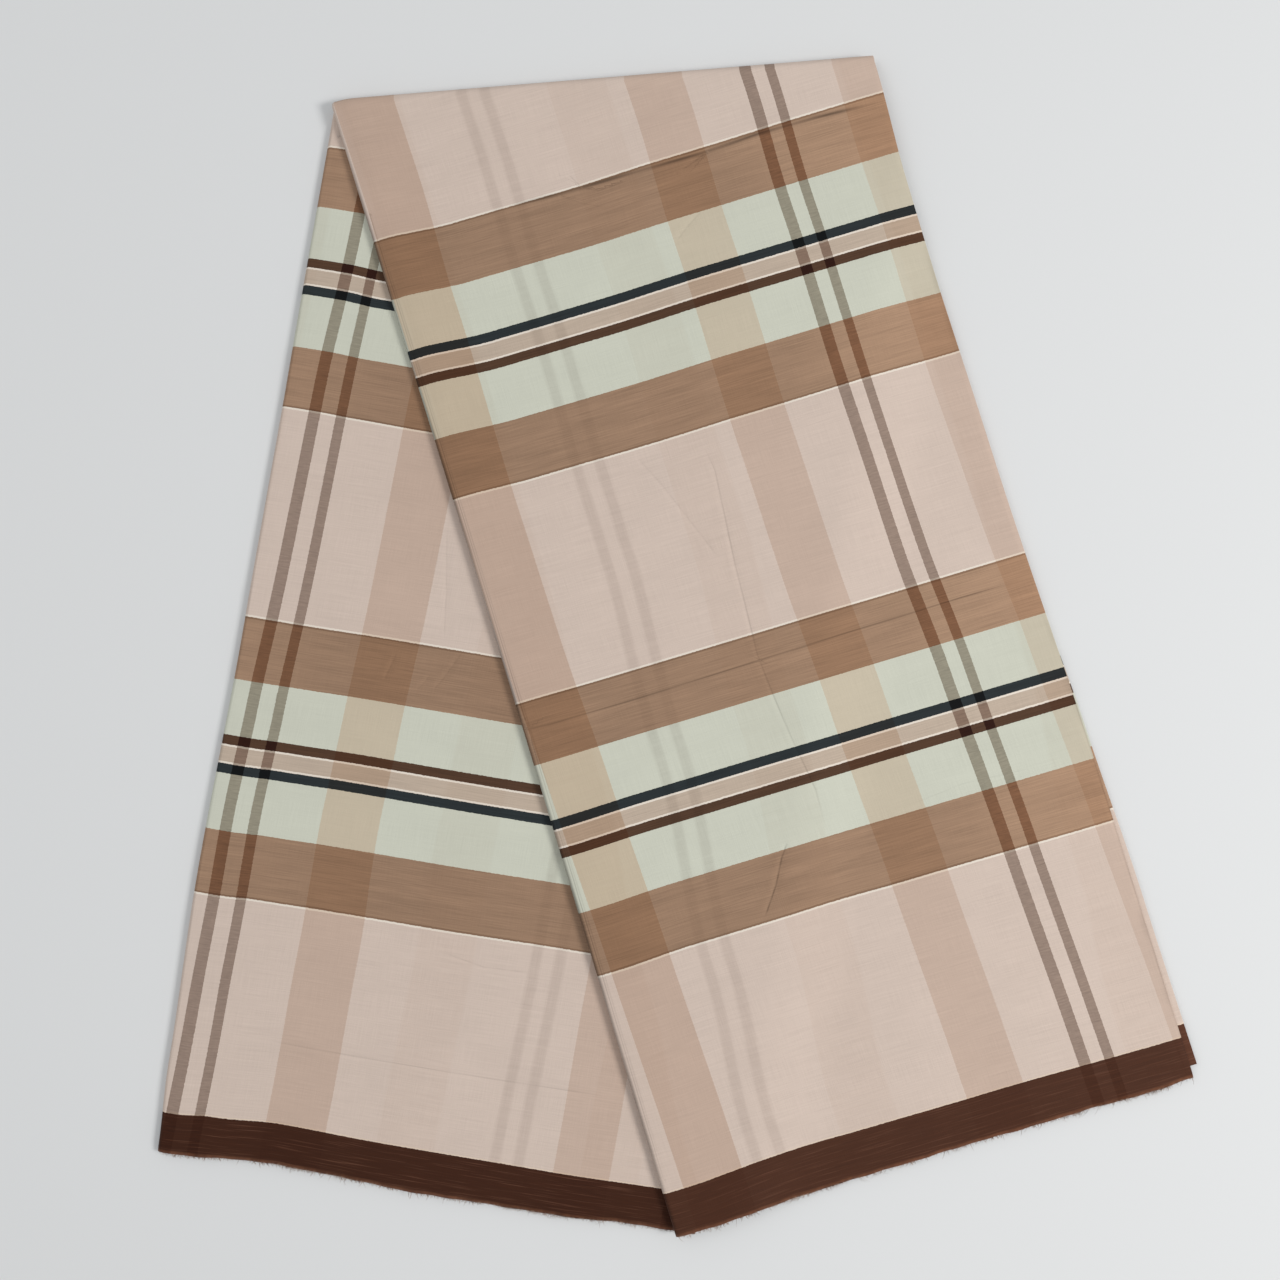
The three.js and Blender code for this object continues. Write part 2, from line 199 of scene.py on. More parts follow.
upperCreases = [
    creased(0.3, 1.2, 0.2, 0.85, 1.4, (-94, -54), (-66, -47), (-18, -33), (44, -13.5), (103, 5),
            (150, 19.5), (190, 31)),
    creased(0.22, 1.6, 0, 0.16, 1.6, (-21, 95), (-6, 78), (4, 65), (24, 39)),
    creased(0.2, 1.4, 0.1, 0.42, 1.4, (15, 100), (21, 87), (31, 39), (38, 10), (43, -11), (52, -34),
            (60, -53), (73, -81), (78, -101)),
    creased(0.4, 1.7, 0.2, 0.9, 1.4, (58, -108), (55, -116), (52, -130), (46, -147)),
    creased(0.5, 1.9, 0.3, 1.25, 3.2, (-90, 229), (-60, 236.4), (-23.8, 247.3), (12.1, 257.5),
            (44.1, 268.3), (74.1, 277), (112, 286)),
    creased(0.25, 1.5, 0.2, 0.4, 1.3, (18, 259), (10, 253), (4, 249)),
    creased(0.22, 1.7, 0.1, 0.2, 1.5, (14, 226), (6, 217), (1, 210)),
    creased(0.35, 1.8, 0.2, 0.4, 1, (-57, 247), (-49, 239), (-40, 238), (-28, 242)),
    creased(0.3, 1.8, 0.2, 0.2, 1, (-64, 236), (-50, 231), (-38, 229)),
    creased(0.26, 2.4, 0.1, 0.15, 1, (125, -88), (150, -78), (185, -70)),
    creased(0.2, 2.6, 0, 0.0, 1, (0, -190), (60, -176), (110, -158)),
    creased(0.26, 2.2, 0, 0.0, 1, (20, -152), (52, -149), (80, -137)),
]
lowerCreases = [
    creased(0.3, 1.4, 0.1, 0.3, 1.2, (-212, -211), (-172, -218), (-117, -227), (-70, -234),
            (-34, -239)),
    creased(0.45, 4.2, 0.2, 0.0, 1, (-172, -150), (-150, -157), (-128, -162), (-86, -168)),
    creased(0.25, 1.6, 0.1, 0.25, 1.2, (-120, -166), (-100, -173), (-76, -176)),
    creased(0.4, 1.3, 0.3, 0.25, 1.6, (-147, -9.5), (-149.4, -15.2), (-151.5, -19.4),
            (-153.2, -24.2)),
    creased(0.32, 1.4, 0.2, 0.2, 1.6, (-112.5, -9), (-117.7, -16.8), (-121.9, -22.6),
            (-127.5, -29.4)),
    creased(0.3, 1.2, 0.2, 0.15, 1.4, (-129, -21.1), (-132.4, -25.2), (-136.2, -29.1)),
    creased(0.24, 1.7, 0, 0.2, 1.2, (-121, 55), (-121, 26), (-122, -4)),
]

# Painted shade lines, each with a painted highlight beside it, that run along the upper leg's long
# edges, at a distance inside them, between two distances from its hem
edgeShadeLines = [
    {"rightSide": False, "inset": 0.0004, "reach": (0.004, 0.628), "shadeAndBump": 1.0, "broad": 4.0},
    {"rightSide": False, "inset": 0.0038, "reach": (0.03, 0.56), "shadeAndBump": 0.3, "broad": 1.2},
    {"rightSide": True, "inset": 0.0002, "reach": (0.000, 0.23), "shadeAndBump": 0.5, "broad": 2.0},
]

# A crease fades to its ends, dips unevenly, and has its ridge at a distance, in half-widths; its
# painted shade line fades to its ends and dips unevenly too
creaseForm = {
    "fadePower": 0.6,
    "unevenness": 0.25,
    "ridgeAt": 1.8,
    "ridgeWidth": 1.3,
    "edgeWidth": 3,
    "edgePoints": 16,
    "dips": (23, 1.3),
    "creaseLineEnds": 9,
    "creaseLineDips": (31, 0.2),
}

# The raw edge's small waves: (rate, shift) of each
hemWander = {
    "size": 0.00022,
    "reach": 0.006,
    "waves": ((173, 1), (61, 0), (391, 2)),
    "fine": 0.6,
}


def smooth(k):
    k = min(1.0, max(0.0, k))
    return k * k * (3 - 2 * k)


# A smooth run through (at, value) rows
def fromRows(rows, at):
    i = 0
    while i < len(rows) - 2 and at > rows[i + 1][0]:
        i += 1
    (a0, v0), (a1, v1) = rows[i], rows[i + 1]
    return v0 + (v1 - v0) * smooth((at - a0) / (a1 - a0))


def unitTowards(a, b):
    length = math.hypot(b[0] - a[0], b[1] - a[1])
    return ((b[0] - a[0]) / length, (b[1] - a[1]) / length)


foldAlong = unitTowards(stack["foldLeft"], stack["foldRight"])
foldOut = (-foldAlong[1], foldAlong[0])
axisLeft = tuple(stack["foldLeft"][i] - foldOut[i] * stack["foldRadius"] for i in (0, 1))
axisRight = tuple(stack["foldRight"][i] - foldOut[i] * stack["foldRadius"] for i in (0, 1))
lowerEdge = unitTowards(axisRight, lowerLeg["hemRight"])
for leg in (upperLeg, lowerLeg):
    leg["lengths"] = (math.dist(axisLeft, leg["hemLeft"]), math.dist(axisRight, leg["hemRight"]))
    leg["parallelRun"] = stack["parallelShare"] * min(leg["lengths"])
    leg["longest"] = leg["lengths"][0 if leg["isUpper"] else 1]


def edgePoint(start, end, bow, share, side):
    along = unitTowards(start, end)
    out = fromRows(bow, share) * side
    return (start[0] + (end[0] - start[0]) * share - along[1] * out,
            start[1] + (end[1] - start[1]) * share + along[0] * out)


# Height of the upper leg's top: on the lower leg, then down to the floor past its right edge
def upperTop(x, y):
    past = (y - axisRight[1]) * lowerEdge[0] - (x - axisRight[0]) * lowerEdge[1]
    drop = 2 * stack["foldRadius"] - upperLeg["thickness"]
    return 2 * stack["foldRadius"] - drop * smooth((past - stack["rampStart"]) / stack["rampWidth"])


# One row across a leg, by its distances from the hem along the left and the right edge
def legRow(leg, fromHem):
    parallelRun = leg["parallelRun"]
    ends = []
    for length in leg["lengths"]:
        reach = fromHem
        if fromHem > parallelRun:
            stretch = (length - parallelRun) / (leg["longest"] - parallelRun)
            reach = parallelRun + (fromHem - parallelRun) * stretch
        ends.append(1 - reach / length)
    left = edgePoint(axisLeft, leg["hemLeft"], leg["leftBow"], ends[0], -1)
    right = edgePoint(axisRight, leg["hemRight"], leg["rightBow"], ends[1], 1)
    across = unitTowards(left, right)
    return {"leg": leg, "left": left, "across": across, "down": (across[1], -across[0]),
            "width": math.dist(left, right), "share": ends[0], "fromHem": fromHem,
            "droop": stack["hemDroop"] * max(0.0, 1 - fromHem / stack["hemDroopLength"]) ** 2,
            "hemPull": smooth((min(ends) - stack["hemPullStart"]) / (1 - stack["hemPullStart"]))}


# How far the hem is drawn in at a distance across
def hemRiseAt(row, x):
    return fromRows(row["leg"]["hemRise"], min(1.0, max(0.0, x / row["width"]))) * row["hemPull"]


def placeOnLeg(row, x, depth):
    leg = row["leg"]
    slow, slower, quick = (math.sin(x * rate + shift) for rate, shift in hemWander["waves"])
    wander = slow * slower + hemWander["fine"] * quick
    rise = hemRiseAt(row, x)
    rise += hemWander["size"] * wander * max(0.0, 1 - row["fromHem"] / hemWander["reach"])
    px = row["left"][0] + row["across"][0] * x - row["down"][0] * rise
    py = row["left"][1] + row["across"][1] * x - row["down"][1] * rise
    heightShare = depth / leg["thickness"]
    if leg["isUpper"]:
        return (px, py, upperTop(px, py) - depth - row["droop"] * max(0.0, 1 - heightShare))
    return (px, py, depth - row["droop"] * max(0.0, heightShare))


def placeOnFold(angle, x, depth):
    reach = (stack["foldRadius"] - depth) * math.cos(angle)
    return (axisLeft[0] + foldAlong[0] * x + foldOut[0] * reach,
            axisLeft[1] + foldAlong[1] * x + foldOut[1] * reach,
            stack["foldRadius"] + (stack["foldRadius"] - depth) * math.sin(angle))


def edgeCrease(leg, rule):
    line = []
    start, end = rule["reach"]
    for i in range(creaseForm["edgePoints"] + 1):
        row = legRow(leg, start + (end - start) * i / creaseForm["edgePoints"])
        at = row["width"] - rule["inset"] if rule["rightSide"] else rule["inset"]
        line.append(tuple(row["left"][k] + row["across"][k] * at for k in (0, 1)))
    return {**creased(0, creaseForm["edgeWidth"], 0, rule["shadeAndBump"], rule["broad"]), "line": line}


upperLeg["creases"] = upperCreases + [edgeCrease(upperLeg, rule) for rule in edgeShadeLines]
lowerLeg["creases"] = lowerCreases


# How far the cloth is drawn off straight at a place
def driftAt(drift, across, along):
    rows = []
    for distance, shifts in drift.items():
        if distance != "across":
            rows.append((distance, fromRows(list(zip(drift["across"], shifts)), across)))
    return fromRows(rows, along) * millimetre


# Where a point of a leg lies in the woven chart: (across the band, along the band), the place
# across of the layer below, the pink weft's share with its painted sheen, and the tan's painted sheen
def chartAt(leg, x, y):
    lay = leg["weave"]
    cross = math.radians(lay["crossDegrees"])
    along = x * math.sin(cross) - y * math.cos(cross) - lay["crossStart"]
    grain = math.radians(lay["grainDegrees"])
    across = -x * math.sin(grain) + y * math.cos(grain) - lay["grainStart"]
    pulled = along - driftAt(lay["crossDrift"], across, along)
    across = (across - driftAt(lay["grainDrift"], across, along)) * lay["grainScale"]
    under = greyStart + across - fromRows(lay["underStart"], along)
    across += lay["grainChart"]
    return (across, lay["chartAtStart"] + lay["chartSign"] * pulled, under,
            fromRows(lay["pinkShareAndSheen"], across), fromRows(lay["paintedSheen"], across))


# The same place in the chart moved on across and along
def movedChart(chart, across, along):
    return (chart[0] + across, chart[1] + along, chart[2] + across, *chart[3:])


# The distance of many points to a crease's line, their side of it and how far along it they are
def alongCrease(points, crease):
    line = np.array(crease["line"])
    steps = np.linalg.norm(np.diff(line, axis=0), axis=1)
    before = np.concatenate([[0], np.cumsum(steps)])
    best = np.full(len(points), 1.0)
    side = np.zeros(len(points))
    run = np.zeros(len(points))
    for i, length in enumerate(steps):
        along = (line[i + 1] - line[i]) / length
        offset = points - line[i]
        t = np.clip(offset @ along, 0, length)
        distance = np.linalg.norm(offset - t[:, None] * along, axis=1)
        nearer = distance < best
        best = np.where(nearer, distance, best)
        side = np.where(nearer, offset[:, 0] * along[1] - offset[:, 1] * along[0], side)
        run = np.where(nearer, (before[i] + t) / before[-1], run)
    return best, np.sign(side) * best, run


# Height added by the creases at many points at once
def creaseHeights(points, creases):
    total = np.zeros(len(points))
    for crease in creases:
        best, across, run = alongCrease(points, crease)
        fade = np.sin(np.pi * np.clip(run, 0.0, 1.0)) ** creaseForm["fadePower"]
        rate, shift = creaseForm["dips"]
        fade *= 1 - creaseForm["unevenness"] * (1 - np.sin(run * rate + shift))
        beside = across / crease["width"] - creaseForm["ridgeAt"]
        total -= crease["depth"] * fade * np.exp(-(best / crease["width"]) ** 2)
        total += crease["ridge"] * fade * np.exp(-(beside / creaseForm["ridgeWidth"]) ** 2)
    return total


# Even distances from start to end
def spread(start, end, step):
    count = max(2, round((end - start) / step))
    return [start + (end - start) * i / count for i in range(count + 1)]


def selectOnly(piece):
    bpy.ops.object.select_all(action="DESELECT")
    piece.select_set(True)
    bpy.context.view_layer.objects.active = piece


def facesOutwards(piece):
    selectOnly(piece)
    bpy.ops.object.mode_set(mode="EDIT")
    bpy.ops.mesh.select_all(action="SELECT")
    bpy.ops.mesh.normals_make_consistent(inside=False)
    bpy.ops.object.mode_set(mode="OBJECT")


def linkedPiece(name, points, faces):
    mesh = bpy.data.meshes.new(name)
    mesh.from_pydata(points, [], faces)
    piece = bpy.data.objects.new(name, mesh)
    bpy.context.scene.collection.objects.link(piece)
    return piece


# Builds a mesh from rows of (position, chart) points, a closed body's rows being rings
def meshFromRows(name, rows, closed=False):
    count = len(rows[0])
    points = [p[0] for row in rows for p in row]
    faces = []
    last = count if closed else count - 1
    for i in range(len(rows) - 1):
        for j in range(last):
            a, b = i * count + j, i * count + (j + 1) % count
            faces.append((a, b, b + count, a + count))
    if closed:
        faces.append(tuple(reversed(range(count))))
        faces.append(tuple((len(rows) - 1) * count + j for j in range(count)))
    piece = linkedPiece(name, points, faces)
    mesh = piece.data
    charts = [p[1] for row in rows for p in row]
    for layerName, pick in (("cloth", (0, 1)), ("under", (2, 1))):
        layer = mesh.uv_layers.new(name=layerName)
        for loop in mesh.loops:
            chart = charts[loop.vertex_index]
            layer.data[loop.index].uv = (chart[pick[0]], chart[pick[1]])
    # per point: the pink weft's share with its painted sheen, the tan's painted sheen, and the distance
    # from the hem
    for valueName, place in (("pinkShareAndSheen", 3), ("paintedSheen", 4), ("fromHem", 5)):
        values = mesh.attributes.new(valueName, "FLOAT", "POINT")
        values.data.foreach_set("value", [chart[place] for chart in charts])
    mesh.polygons.foreach_set("use_smooth", [True] * len(mesh.polygons))
    facesOutwards(piece)
    return piece


def thicken(piece, thickness, offset):
    selectOnly(piece)
    solid = piece.modifiers.new("cloth thickness", "SOLIDIFY")
    solid.thickness = thickness
    solid.offset = offset
    solid.use_even_offset = False
    bpy.ops.object.modifier_apply(modifier=solid.name)


topSheet = {
    "cloth": 0.00045,
    "turnRadius": 0.00048,
    "turnLip": 0.008,
    "leftLip": 0.009,
    "lipSteps": 3,
    "turnSteps": 6,
    "roundSteps": 12,
    "columns": 96,
    "edgeColumns": (0.0022, 0.0016, 0.001),
    "dipReach": 0.01,
    "alongStep": 0.0028,
    "foldSteps": 18,
    "underside": 0.016,
    "undersideSteps": 3,
    "upperSeed": 1.0,
    "lowerSeed": 2.4,
}


# The section of a leg's top sheet, which turns under at its right edge and turns round the long
# fold at its left: (across, depth) points, with how far each lies past the sheet's own edge
def sheetSection(leg, width, dip):
    thickness = leg["thickness"]
    radius = thickness / 2
    turn = topSheet["turnRadius"]
    lipSteps, turnSteps, roundSteps = (topSheet[k] for k in ("lipSteps", "turnSteps", "roundSteps"))
    section = []
    for i in range(lipSteps):
        section.append((width - turn - topSheet["turnLip"] * (1 - i / lipSteps), 2 * turn, None))
    for i in range(turnSteps + 1):
        angle = math.pi * i / turnSteps
        section.append((width - turn + turn * math.sin(angle), turn + turn * math.cos(angle), None))
    flatRun = width - turn - radius
    columns = topSheet["columns"]
    runs = [flatRun * i / columns for i in range(columns - 1, 0, -1)]
    for run in [*runs, *topSheet["edgeColumns"], 0.0]:
        section.append((radius + run, dip * max(0.0, 1 - run / topSheet["dipReach"]) ** 2, None))
    for i in range(1, roundSteps + 1):
        angle = math.pi * i / roundSteps
        lower = dip * (1 - i / roundSteps)
        section.append((radius - radius * math.sin(angle), radius - radius * math.cos(angle) + lower,
                        angle * radius))
    for i in range(1, lipSteps + 1):
        beyond = topSheet["leftLip"] * i / lipSteps
        section.append((radius + beyond, thickness, math.pi * radius + beyond))
    if not leg["isUpper"]:
        section = [(x, thickness - depth, past) for x, depth, past in section]
    return section


def chartOfSection(row, x, past=None):
    middle = row["leg"]["thickness"] / 2
    at = max(x, middle) if past is None else middle
    rise = hemRiseAt(row, at)
    px, py = (row["left"][k] + row["across"][k] * at - row["down"][k] * rise for k in (0, 1))
    return movedChart((*chartAt(row["leg"], px, py), row["fromHem"]), -(past or 0.0), 0.0)


# One row of a piece's points: each has its place and its chart, moved onward along the band
def lineOf(row, section, place, onward=0.0):
    return [(place(x, depth), movedChart(chartOfSection(row, x, past), 0.0, onward))
            for x, depth, past in section]


def legLine(row, section):
    return lineOf(row, section, lambda x, depth: placeOnLeg(row, x, depth))


# A row at a share of the way round the top fold
def foldLine(row, section, share):
    angle = math.pi / 2 - math.pi * share
    onward = math.pi * stack["foldRadius"] * share
    return lineOf(row, section, lambda x, depth: placeOnFold(angle, x, depth), onward)


# Gentle unevenness of a big sheet lying loose: the height of each ripple, how much it winds, and
# the two waves that make it up, as rates along x and y and a shift
looseRipples = [
    (0.00022, 0, (31, 17, 1), (-12, 23, 2)),
    (0.00012, 0, (59, -83, 3), (29, 71, -1)),
    (0.00005, 2, (43, -262, 1), (19, 37, 2)),
]
windingRate = 21


def looseness(x, y, seed):
    total = np.zeros(len(x))
    for height, winding, (ax, ay, a), (bx, by, b) in looseRipples:
        first = np.sin(ax * x + ay * y + a * seed + winding * np.sin(windingRate * x))
        total += height * first * np.sin(bx * x + by * y + b * seed)
    return total


sheetGrid = {
    "fineUnder": 0.002,
    "nearCrease": 0.0045,
    "cuts": 2,
    "lineReach": 0.003,
    "lineFull": 1.6,
    "facingUp": 0.9,
    "topAbove": 0.0028,
}


# Splits the faces near the creases finer, then lowers and raises the top's points. The sharpest
# creases also leave their distance and the strength of their painted shade on the points, for the
# cloth's finish
def layCreases(piece, leg, seed):
    mesh = piece.data
    centres = np.array([face.center[:] for face in mesh.polygons])
    upwards = np.array([face.normal[2] for face in mesh.polygons])
    near = np.zeros(len(centres), dtype=bool)
    for crease in leg["creases"]:
        if crease["width"] < sheetGrid["fineUnder"]:
            near |= alongCrease(centres[:, :2], crease)[0] < sheetGrid["nearCrease"]
    near &= (upwards > sheetGrid["facingUp"]) & (centres[:, 2] > sheetGrid["topAbove"])
    mesh.polygons.foreach_set("select", near)
    mesh.edges.foreach_set("select", [False] * len(mesh.edges))
    mesh.vertices.foreach_set("select", [False] * len(mesh.vertices))
    selectOnly(piece)
    bpy.context.tool_settings.mesh_select_mode = (False, False, True)
    bpy.ops.object.mode_set(mode="EDIT")
    bpy.ops.mesh.subdivide(number_cuts=sheetGrid["cuts"])
    bpy.ops.object.mode_set(mode="OBJECT")
    points = np.array([v.co[:] for v in mesh.vertices])
    normals = np.array([v.normal[:] for v in mesh.vertices])
    top = (normals[:, 2] > sheetGrid["facingUp"]) & (points[:, 2] > sheetGrid["topAbove"])
    lift = creaseHeights(points[:, :2], leg["creases"]) + looseness(points[:, 0], points[:, 1], seed)
    points[top, 2] += lift[top]
    mesh.vertices.foreach_set("co", points.ravel())
    # each point's nearest crease line and how strong the painted shade and highlight along it are
    nearest = np.full(len(points), 1.0)
    signed = np.zeros(len(points))
    strength = np.zeros(len(points))
    for crease in leg["creases"]:
        best, across, run = alongCrease(points[:, :2], crease)
        best, across = best / crease["broad"], across / crease["broad"]
        nearer = best < nearest
        nearest = np.where(nearer, best, nearest)
        signed = np.where(nearer, across, signed)
        rate, dip = creaseForm["creaseLineDips"]
        fade = np.clip(np.minimum(run, 1 - run) * creaseForm["creaseLineEnds"], 0, 1)
        fade *= 1 - dip * (1 - np.sin(run * rate))
        strength = np.where(nearer, crease["shadeAndBump"] * fade, strength)
    strength *= np.clip(sheetGrid["lineFull"] - nearest / sheetGrid["lineReach"], 0, 1)
    strength *= points[:, 2] > sheetGrid["topAbove"]
    for name, values in (("creaseAt", signed), ("creaseShadeAndBump", strength)):
        layer = mesh.attributes.new(name, "FLOAT", "POINT")
        layer.data.foreach_set("value", values)
    mesh.update()


def legLines(leg, length):
    rows = []
    for fromHem in spread(0.0, length, topSheet["alongStep"]):
        row = legRow(leg, fromHem)
        section = sheetSection(leg, row["width"], fromRows(leg["edgeDip"], row["share"]))
        rows.append(legLine(row, section))
    return rows


def makeTopSheet(name, leg, rows, seed):
    piece = meshFromRows(name, rows)
    layCreases(piece, leg, seed)
    thicken(piece, topSheet["cloth"], -1)
    return piece


# The upper sheet goes on round the top fold, and a little way below the lower leg
def makeUpperSheet():
    rows = legLines(upperLeg, upperLeg["longest"])
    foldRow = legRow(upperLeg, upperLeg["longest"])
    section = sheetSection(upperLeg, foldRow["width"], upperLeg["edgeDip"][0][1])
    for i in range(1, topSheet["foldSteps"] + 1):
        rows.append(foldLine(foldRow, section, i / topSheet["foldSteps"]))
    step = topSheet["underside"] / topSheet["undersideSteps"]
    for _ in range(topSheet["undersideSteps"]):
        rows.append([((x - foldOut[0] * step, y - foldOut[1] * step, z), movedChart(chart, 0.0, step))
                     for (x, y, z), chart in rows[-1]])
    return makeTopSheet("upper_leg_sheet", upperLeg, rows, topSheet["upperSeed"])


def makeLowerSheet():
    rows = legLines(lowerLeg, lowerLeg["longest"] - stack["gap"])
    return makeTopSheet("lower_leg_sheet", lowerLeg, rows, topSheet["lowerSeed"])


print("sheets")
upperCloth = makeUpperSheet()
lowerCloth = makeLowerSheet()


# The second layer, folded at its right edge, where it shows past the top sheet
secondSheet = {
    "cloth": 0.00042,
    "turnRadius": 0.00048,
    "wide": 0.075,
    "behind": 0.0165,
    "depth": 0.0013,
    "acrossStep": 0.004,
    "alongStep": 0.004,
    "hemShort": 0.006,
    "foldShort": 0.03,
    "turnSteps": 6,
    "lip": 0.01,
    "lipSteps": 3,
    "borderPaintedHighlight": 1.9,
    "reach": [(0, -0.0015), (0.55, -0.0006), (0.7, 0.0012), (0.85, 0.0032), (1, 0.004)],
}


def makeSecondSheet():
    turn, lip, wide = (secondSheet[k] for k in ("turnRadius", "lip", "wide"))
    turnSteps, lipSteps = secondSheet["turnSteps"], secondSheet["lipSteps"]
    hemShort = secondSheet["hemShort"]
    length = upperLeg["longest"] - secondSheet["foldShort"]
    steps = round(wide / secondSheet["acrossStep"])
    onward = upperWeave["chartSign"] * hemShort
    rows = []
    for fromHem in spread(hemShort, length, secondSheet["alongStep"]):
        row = legRow(upperLeg, fromHem)
        end = row["width"] + fromRows(secondSheet["reach"], row["share"]) - turn
        start = end - wide
        section = [(start + (end - start) * i / steps, 0.0) for i in range(steps)]
        for i in range(turnSteps + 1):
            angle = math.pi * i / turnSteps
            section.append((end + turn * math.sin(angle), turn - turn * math.cos(angle)))
        section += [(end - lip * i / lipSteps, 2 * turn) for i in range(1, lipSteps + 1)]
        line = []
        for x, depth in section:
            chart = movedChart(chartOfSection(row, min(x, end)), -secondSheet["behind"], onward)
            # the second layer's border, where its fold shows past the top sheet, is lightened: a painted
            # highlight
            if chart[1] < weave["border"]:
                chart = (*chart[:4], secondSheet["borderPaintedHighlight"], chart[5])
            line.append((placeOnLeg(row, x, secondSheet["depth"] + depth), chart))
        rows.append(line)
    piece = meshFromRows("second_layer_edge", rows)
    thicken(piece, secondSheet["cloth"], -1)
    return piece


secondCloth = makeSecondSheet()

# The hidden layers of both legs: one body whose right side shows each layer's fold
layerBody = {
    "upperOuter": 0.0026,
    "foldOuter": 0.0013,
    "foldInner": 0.0043,
    "lowerInner": 0.003,
    "lip": 0.0102,
    "lipRoom": 0.001,
    "start": 0.0025,
    "groove": 0.0016,
    "hemShort": 0.01,
    "alongStep": 0.005,
    "reaches": (-0.002, -0.0006, -0.0014),
    "wander": 0.0007,
    "waves": (38, 11, 2.1),
    "columns": 10,
    "rounding": 0.0004,
    "tipRadius": 0.0006,
    "tipAngles": (30, 60, 90, 120, 150),
    "tipHeight": 0.44,
    "foldSteps": 12,
    "foldBlend": 0.02,
    "tailRoom": 0.001,
    "tailBlend": 0.004,
}


def layerSection(width, outer, outerLip, innerLip, inner, along):
    right = width + min(layerBody["reaches"]) - layerBody["groove"]
    lip, start, columns = (layerBody[k] for k in ("lip", "start", "columns"))
    nearStart = start + layerBody["rounding"]
    xs = [right + (lip + layerBody["lipRoom"] - right) * i / columns for i in range(columns + 1)]
    section = [(x, outer) for x in xs]
    section += [(lip, outerLip), (nearStart, outerLip), (start, (outerLip + innerLip) / 2),
                (nearStart, innerLip), (lip, innerLip)]
    section += [(x, inner) for x in reversed(xs)]
    each = (inner - outer) / len(layerBody["reaches"])
    radius = layerBody["tipRadius"]
    rate, faster, shift = layerBody["waves"]
    for k, reach in enumerate(layerBody["reaches"]):
        top = inner - k * each
        wander = layerBody["wander"] * math.sin(along * (rate + faster * k) + shift * k)
        tip = width + reach + wander
        if k:
            section.append((right, top))
        for angle in layerBody["tipAngles"]:
            a = math.radians(angle)
            down = each * (0.5 - layerBody["tipHeight"] * math.cos(a))
            section.append((tip - radius + radius * math.sin(a), top - down))
    return [(x, depth, None) for x, depth in section]


def makeLayerBody():
    rows = []
    short, step = layerBody["hemShort"], layerBody["alongStep"]
    upperOuter, foldOuter = layerBody["upperOuter"], layerBody["foldOuter"]
    foldInner, lowerInner = layerBody["foldInner"], layerBody["lowerInner"]
    behindWall = stack["wall"] + stack["gap"]
    lipTop, lipLow = upperLeg["thickness"] - behindWall, lowerLeg["thickness"] - behindWall
    longestUpper, longestLower = upperLeg["longest"], lowerLeg["longest"]
    for fromHem in spread(short, longestUpper, step):
        row = legRow(upperLeg, fromHem)
        nearFold = smooth((fromHem - longestUpper + layerBody["foldBlend"]) / layerBody["foldBlend"])
        outer = upperOuter + (foldOuter - upperOuter) * nearFold
        inner = upperLeg["thickness"] + (foldInner - upperLeg["thickness"]) * nearFold
        section = layerSection(row["width"], outer, outer, lipTop, inner, fromHem)
        rows.append(legLine(row, section))
    foldRow = legRow(upperLeg, longestUpper)
    for i in range(1, layerBody["foldSteps"] + 1):
        share = i / layerBody["foldSteps"]
        section = layerSection(foldRow["width"], foldOuter, foldOuter, lipTop + (lipLow - lipTop) * share,
                               foldInner + (lowerInner - foldInner) * share, longestUpper)
        rows.append(foldLine(foldRow, section, share))
    tail = topSheet["underside"] + layerBody["tailRoom"]
    for fromHem in reversed(spread(short, longestLower - layerBody["tailRoom"], step)):
        row = legRow(lowerLeg, fromHem)
        outer = foldOuter * (1 - smooth((longestLower - fromHem - tail) / layerBody["tailBlend"]))
        section = layerSection(row["width"], outer, behindWall, lipLow, lowerInner, fromHem)
        rows.append(legLine(row, section))
    return meshFromRows("folded_layers", rows, closed=True)


print("hidden layers")
innerLayers = makeLayerBody()

# The layers' own selvedges, one thin leaf above another at each hem
hemLeaves = {
    "cloth": 0.00036,
    "upperDepths": (0.0021, 0.0027, 0.0033, 0.0039),
    "lowerDepths": (0.00045, 0.001, 0.0016, 0.0022, 0.0028),
    "shorts": (0.0052, 0.0034, 0.0046, 0.0022, 0.0038),
    "deep": 0.016,
    "left": 0.003,
    "right": 0.0022,
    "columns": 96,
    "rows": 5,
    "waves": ((0.0008, 9, 2.3), (0.0004, 31, 1)),
    "slant": 0.0006,
    "slantRate": 1.7,
    "lift": 0.0001,
    "liftWave": (14, 1.9),
}


def makeHemLeaf(name, leg, k, depth):
    rows = []
    for i in range(hemLeaves["rows"] + 1):
        inwards = i / hemLeaves["rows"]
        line = []
        for j in range(hemLeaves["columns"] + 1):
            share = j / hemLeaves["columns"]
            short = hemLeaves["shorts"][k]
            for size, rate, shift in hemLeaves["waves"]:
                short += size * math.sin(rate * share + shift * k)
            row = legRow(leg, short + (hemLeaves["deep"] - short) * inwards)
            x = hemLeaves["left"] + (row["width"] - hemLeaves["left"] - hemLeaves["right"]) * share
            x += hemLeaves["slant"] * math.sin(hemLeaves["slantRate"] * k) * share
            rate, shift = hemLeaves["liftWave"]
            lift = hemLeaves["lift"] * math.sin(rate * share + shift * k) * (1 - inwards)
            chart = movedChart(chartOfSection(row, x), 0.0, leg["weave"]["chartSign"] * short)
            line.append((placeOnLeg(row, x, depth + lift), chart))
        rows.append(line)
    leaf = meshFromRows(name, rows)
    thicken(leaf, hemLeaves["cloth"], 0)
    return leaf


